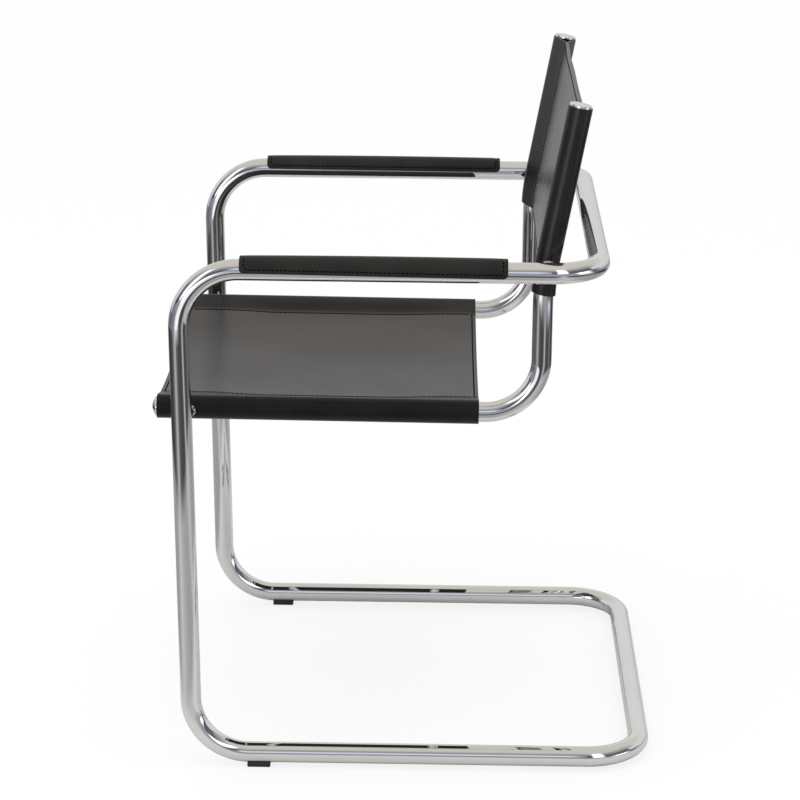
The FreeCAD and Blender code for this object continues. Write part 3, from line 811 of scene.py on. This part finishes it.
def padPiece(name, side):
    length = armPad["rear"] - armPad["front"]
    near = armPad["endPoints"]
    between = length - 2 * near[-1]
    count = round(between / armPad["step"])
    stations = near + [near[-1] + between * i / count for i in range(1, count)]
    stations += [length - s for s in reversed(near)]
    whole = armPad["arc"]
    edgeShare = armPad["edgePoints"][-1] / whole
    shares = [a / whole for a in armPad["edgePoints"]]
    steps = armPad["arcSteps"]
    shares += [edgeShare + (1 - 2 * edgeShare) * i / steps for i in range(1, steps)]
    shares += [1 - a / whole for a in reversed(armPad["edgePoints"])]
    innerCount = armPad["innerPoints"]
    points = []
    for s in stations:
        y = armPad["front"] + s
        points += [padSurface(side, y, share, padSeamDepth(y, share)) for share in shares]
        start = math.asin(padEdge(y, armPad["outerDrop"]) / armPad["inner"])
        end = math.pi - math.asin(padEdge(y, armPad["innerDrop"]) / armPad["inner"])
        for i in range(innerCount):
            angle = end + (start - end) * i / (innerCount - 1)
            points.append(padPoint(side, y, armPad["inner"], angle))
    count = len(shares) + innerCount
    faces = ringFaces(len(stations), count)
    # ends: triangles join the outer and the inner line, taking turns by their share of the way
    for row in (0, len(stations) - 1):
        base = row * count
        outer = [base + i for i in range(len(shares))]
        inner = [base + len(shares) + i for i in range(innerCount)][::-1]
        i = j = 0
        while i < len(outer) - 1 or j < len(inner) - 1:
            stepOuter = (i + 1) / (len(outer) - 1)
            stepInner = (j + 1) / (len(inner) - 1)
            if stepOuter <= stepInner and i < len(outer) - 1 or j == len(inner) - 1:
                faces.append((outer[i], outer[i + 1], inner[j]))
                i += 1
            else:
                faces.append((outer[i], inner[j + 1], inner[j]))
                j += 1
    piece = meshPiece(name, points, faces)
    # the end faces show the leather's cut edge
    for f in piece.data.polygons:
        if abs(f.normal.y) > 0.9:
            f.material_index = 1
    piece.data.materials.append(None)
    piece.data.materials.append(None)
    smoothShade(piece, 40)
    return piece


def padStitches(name, side):
    front, rear = armPad["front"], armPad["rear"]
    up, inset, corner = armPad["seamUp"], armPad["seamIn"], armPad["seamCorner"]
    rows = []

    def share(y, arcLength, far):
        whole = padOuter(y, 0.5)[1] * (padOuter(y, 1)[0] - padOuter(y, 0)[0])
        value = arcLength / whole
        return 1 - value if far else value

    # a quarter of the seam: along a lower edge to the end, round the corner and up to the top
    line = []
    y = (front + rear) / 2
    while y > front + inset + corner:
        line.append((y, up))
        y -= 1.0
    for i in range(7):
        a = math.radians(90 * i / 6)
        line.append((front + inset + (corner - corner * math.sin(a)),
                     up + (corner - corner * math.cos(a))))
    u = up + corner
    while u < armPad["seamTop"]:
        line.append((front + inset, u))
        u += 1.0
    for far in (False, True):
        for flip in (False, True):
            path = []
            for y, u in line:
                y = front + rear - y if flip else y
                place = min(0.999, max(0.001, share(y, u, far)))
                path.append(padSurface(side, y, place, armPad["groove"] * armPad["stitchSink"]))
            travelled, target = 0, armPad["stitch"] / 2
            for a, b in zip(path, path[1:]):
                step = (b - a).length / mm
                while travelled + step > target and step > 1e-6:
                    p = a.lerp(b, (target - travelled) / step)
                    middle = padPoint(side, p.y / mm, 0, 0, armPad["lift"])
                    rows.append((p, (b - a).normalized(), (p - middle).normalized()))
                    target += armPad["stitch"]
                travelled += step
    return stitchRows(name, rows, armPad["stitchSize"])


for side, sign in bothSides:
    piece = padPiece("armPad_" + side, sign)
    keep(piece, [padLeather, cutEdge], ["arm_pad_" + side])
    keep(padStitches("padStitches_" + side, sign), thread)
print("arm pads made")


# tones along the floor and round the room are given as (degrees from +X towards +Y, tone)
floorLook = {
    "size": 24.0, "tone": 0.93, "nearTone": (0.66, 0.65, 0.63), "cameraGlow": 0.8,
    "nearEdge": (0.42, 0.62), "paperEdge": (1.18, 1.42), "darkEdge": (2.15, 2.45),
    # painted light on the paper near the chair, brighter towards the soft boxes
    "paper": [
        (-180, 0.62), (-120, 0.33), (-75, 0.31), (-52, 0.52), (-35, 0.4), (-8, 0.32),
        (14, 0.34), (36, 0.5), (60, 0.36), (90, 0.3), (140, 0.4), (180, 0.62),
    ],
    # painted reflections on the dark floor: bright patches where the soft boxes shine
    "dark": [
        (-180, 0.6), (-146, 0.5), (-124, 0.04), (-95, 0.03), (-70, 0.07), (-56, 0.2),
        (-47, 0.42), (-39, 0.34), (-29, 0.11), (-14, 0.06), (2, 0.05), (13, 0.06),
        (20, 0.14), (27, 0.5), (31, 0.42), (37, 0.13), (47, 0.06), (60, 0.05),
        (74, 0.12), (86, 0.16), (100, 0.04), (124, 0.04), (146, 0.5), (180, 0.6),
    ],
    # painted reflections of the windows and soft boxes far out on the floor
    "far": [
        (-180, 0.6), (-140, 0.3), (-100, 0.12), (-48, (0.24, 0.25, 0.3)), (-34, 1.0), (-14, 1.0),
        (-4, (0.3, 0.32, 0.37)), (50, (0.3, 0.32, 0.37)), (60, 0.9), (78, 0.9), (88, 0.12),
        (140, 0.4), (180, 0.6),
    ],
}


def compass(tree, x, y):
    # 0 to 1 round the room: 0.5 faces +X, 0.75 faces +Y
    angle = mathNode(tree, "ARCTAN2", y, x)
    return mathNode(tree, "ADD", mathNode(tree, "MULTIPLY", angle, 0.5 / math.pi), 0.5)


def roundRoom(tree, heading, stops):
    return ramp(tree, heading, [(degrees / 360 + 0.5, tone) for degrees, tone in stops])


bpy.ops.object.select_all(action="DESELECT")
bpy.ops.mesh.primitive_plane_add(size=floorLook["size"], location=(0, 0, 0))
floor = bpy.context.object
floor.name = "studioFloor"
material, tree, shader = newMaterial("floorPaper")
shader.inputs["Roughness"].default_value = 0.9
shader.inputs["Specular IOR Level"].default_value = 0.1
vector = coordinates(tree)
heading = compass(tree, *splitVector(tree, vector)[:2])
reach = addNode(tree, "ShaderNodeVectorMath", operation="LENGTH")
tree.links.new(vector, reach.inputs[0])
distance = reach.outputs["Value"]
rays = addNode(tree, "ShaderNodeLightPath")
# in the chrome, the paper shows light near the chair and a dark studio floor beyond its edge: these
# tones are painted light and painted reflections, brighter where the soft boxes and windows would shine
# on the floor, and only mirrored rays see them
nearPaperPaintedLight = mixColours(tree, fade(tree, distance, *floorLook["nearEdge"]), floorLook["nearTone"],
                       roundRoom(tree, heading, floorLook["paper"]))
darkFloorPaintedLight = mixColours(tree, fade(tree, distance, *floorLook["darkEdge"]),
                       roundRoom(tree, heading, floorLook["dark"]),
                       roundRoom(tree, heading, floorLook["far"]))
mirrored = mixColours(tree, fade(tree, distance, *floorLook["paperEdge"]), nearPaperPaintedLight, darkFloorPaintedLight)
# other rays see the paper's own even tone, mirrored rays see the painted light and reflections
tone = mixColours(tree, rays.outputs["Is Glossy Ray"], (floorLook["tone"],) * 3, mirrored)
tree.links.new(tone, shader.inputs["Base Color"])
# the camera itself sees the paper nearly white
glow = addNode(tree, "ShaderNodeEmission", {"Color": (1, 1, 1, 1), "Strength": 1.0})
mixer = addNode(tree, "ShaderNodeMixShader")
seen = mathNode(tree, "MULTIPLY", rays.outputs["Is Camera Ray"], floorLook["cameraGlow"])
tree.links.new(seen, mixer.inputs[0])
tree.links.new(shader.outputs[0], mixer.inputs[1])
tree.links.new(glow.outputs[0], mixer.inputs[2])
tree.links.new(mixer.outputs[0], tree.nodes["Material Output"].inputs["Surface"])
floor.data.materials.append(material)

# heights in the room are given as (sine of the angle over the horizon, tone)
roomLook = {
    # from the horizon up: dark skirt, window band, grey wall, cream ceiling
    "cameraSide": [
        (0.0, 0.03), (0.11, 0.05), (0.16, (0.12, 0.13, 0.16)), (0.22, (0.6, 0.66, 0.76)),
        (0.3, (0.76, 0.81, 0.9)), (0.41, (0.72, 0.77, 0.85)), (0.47, (0.4, 0.41, 0.44)),
        (0.58, (0.32, 0.32, 0.33)), (0.7, (0.4, 0.39, 0.37)), (0.82, (0.64, 0.61, 0.55)),
        (1.0, (0.66, 0.63, 0.56)),
    ],
    "sweepSide": [
        (0.0, (0.66, 0.66, 0.68)), (0.22, (0.72, 0.71, 0.72)), (0.4, (0.76, 0.74, 0.7)),
        (0.6, (0.66, 0.64, 0.58)), (1.0, (0.66, 0.63, 0.56)),
    ],
    "sideEdge": (-0.35, 0.05),
    # tall soft boxes to each side of the camera and dark flats beside them
    "boxes": [(-66, 0), (-60, 1), (-44, 1), (-38, 0), (13, 0), (16, 1), (33, 1), (37, 0)],
    "boxHeight": [(0.05, 0), (0.09, 1), (0.74, 1), (0.8, 0)], "boxGlow": 0.5,
    "flats": [
        (-100, 0), (-94, 1), (-70, 1), (-64, 0), (-34, 0), (-30, 1), (-12, 1), (-6, 0),
        (3, 0), (6, 1), (13, 1), (37, 1), (84, 1), (92, 0),
    ],
    "flatHeight": [(0.45, 1), (0.56, 0)], "flatShare": 0.85, "flatTone": (0.03, 0.03, 0.032),
    # a low row of windows, seen in the leather round the back's tubes
    "windows": [
        (-110, (0.16, 0.17, 0.2)), (-42, (0.3, 0.32, 0.38)), (-32, 1.0), (-16, 1.0),
        (-6, (0.34, 0.36, 0.42)), (44, (0.3, 0.32, 0.38)), (58, 0.9), (76, 0.9),
        (88, (0.16, 0.17, 0.2)), (120, 0.12),
    ],
    "windowHeight": [(0.0, 1), (0.11, 1), (0.15, 0)], "windowGlow": 1.6,
}

world = bpy.data.worlds.new("studio")
bpy.context.scene.world = world
world.use_nodes = True
tree = world.node_tree
tree.nodes.clear()
x, y, z = splitVector(tree, coordinates(tree, "Generated"))
heading = compass(tree, x, y)
cameraSide = fade(tree, x, *roomLook["sideEdge"], kind="LINEAR")
walls = mixColours(tree, cameraSide, ramp(tree, z, roomLook["sweepSide"]),
                   ramp(tree, z, roomLook["cameraSide"]))
flats = mathNode(tree, "MULTIPLY", roundRoom(tree, heading, roomLook["flats"]),
                 ramp(tree, z, roomLook["flatHeight"]))
flats = mathNode(tree, "MULTIPLY", flats, roomLook["flatShare"])
walls = mixColours(tree, flats, walls, roomLook["flatTone"])
boxes = mathNode(tree, "MULTIPLY", roundRoom(tree, heading, roomLook["boxes"]),
                 ramp(tree, z, roomLook["boxHeight"]))
walls = mixColours(tree, boxes, walls, (1.0, 1.0, 1.0))
windows = roundRoom(tree, heading, roomLook["windows"])
low = mathNode(tree, "MULTIPLY", cameraSide, ramp(tree, z, roomLook["windowHeight"]))
walls = mixColours(tree, low, walls, windows)
# only mirrored rays see the room, all others see an even white
rays = addNode(tree, "ShaderNodeLightPath")
shown = mixColours(tree, rays.outputs["Is Glossy Ray"], (1, 1, 1), walls)
windowGlow = mathNode(tree, "MULTIPLY", low, mathNode(tree, "POWER", windows, 3.0))
windowGlow = mathNode(tree, "MULTIPLY", windowGlow, roomLook["windowGlow"])
lampGlow = mathNode(tree, "ADD", windowGlow, mathNode(tree, "MULTIPLY", boxes, roomLook["boxGlow"]))
lampGlow = mathNode(tree, "MULTIPLY", lampGlow, rays.outputs["Is Glossy Ray"])
background = addNode(tree, "ShaderNodeBackground")
tree.links.new(mathNode(tree, "ADD", lampGlow, 1.0), background.inputs["Strength"])
tree.links.new(shown, background.inputs["Color"])
output = addNode(tree, "ShaderNodeOutputWorld")
tree.links.new(background.outputs[0], output.inputs["Surface"])

topLamp = {"place": (0.8, -0.6, 3.0), "target": (0, 0, 0.3), "size": 2.4, "energy": 22}
bpy.ops.object.select_all(action="DESELECT")
bpy.ops.object.light_add(type="AREA", location=topLamp["place"])
lamp = bpy.context.object
lamp.data.shape = "DISK"
lamp.data.size = topLamp["size"]
lamp.data.energy = topLamp["energy"]
lamp.rotation_euler = (Vector(topLamp["target"]) - lamp.location).to_track_quat("-Z", "Y").to_euler()
lamp.visible_glossy = False

bpy.context.scene.view_settings.view_transform = "Standard"

photoView = {
    "place": (3442.0, 34.3, 1458.3), "yaw": 0.761, "pitch": 17.303, "roll": 0.538,
    "lens": 127.15, "sensor": 36, "farthest": 60,
}
yaw, pitch, roll = (math.radians(photoView[k]) for k in ("yaw", "pitch", "roll"))
look = Vector((-math.cos(pitch) * math.cos(yaw), -math.cos(pitch) * math.sin(yaw), -math.sin(pitch)))
level = look.cross(Vector((0, 0, 1))).normalized()
above = level.cross(look)
right = level * math.cos(roll) + above * math.sin(roll)
up = above * math.cos(roll) - level * math.sin(roll)
bpy.ops.object.camera_add(location=at(*photoView["place"]))
camera = bpy.context.object
camera.name = "photoCamera"
camera.rotation_euler = Matrix((right, up, -look)).transposed().to_euler()
camera.data.lens = photoView["lens"]
camera.data.sensor_width = photoView["sensor"]
camera.data.clip_end = photoView["farthest"]
bpy.context.scene.camera = camera
print("studio set")
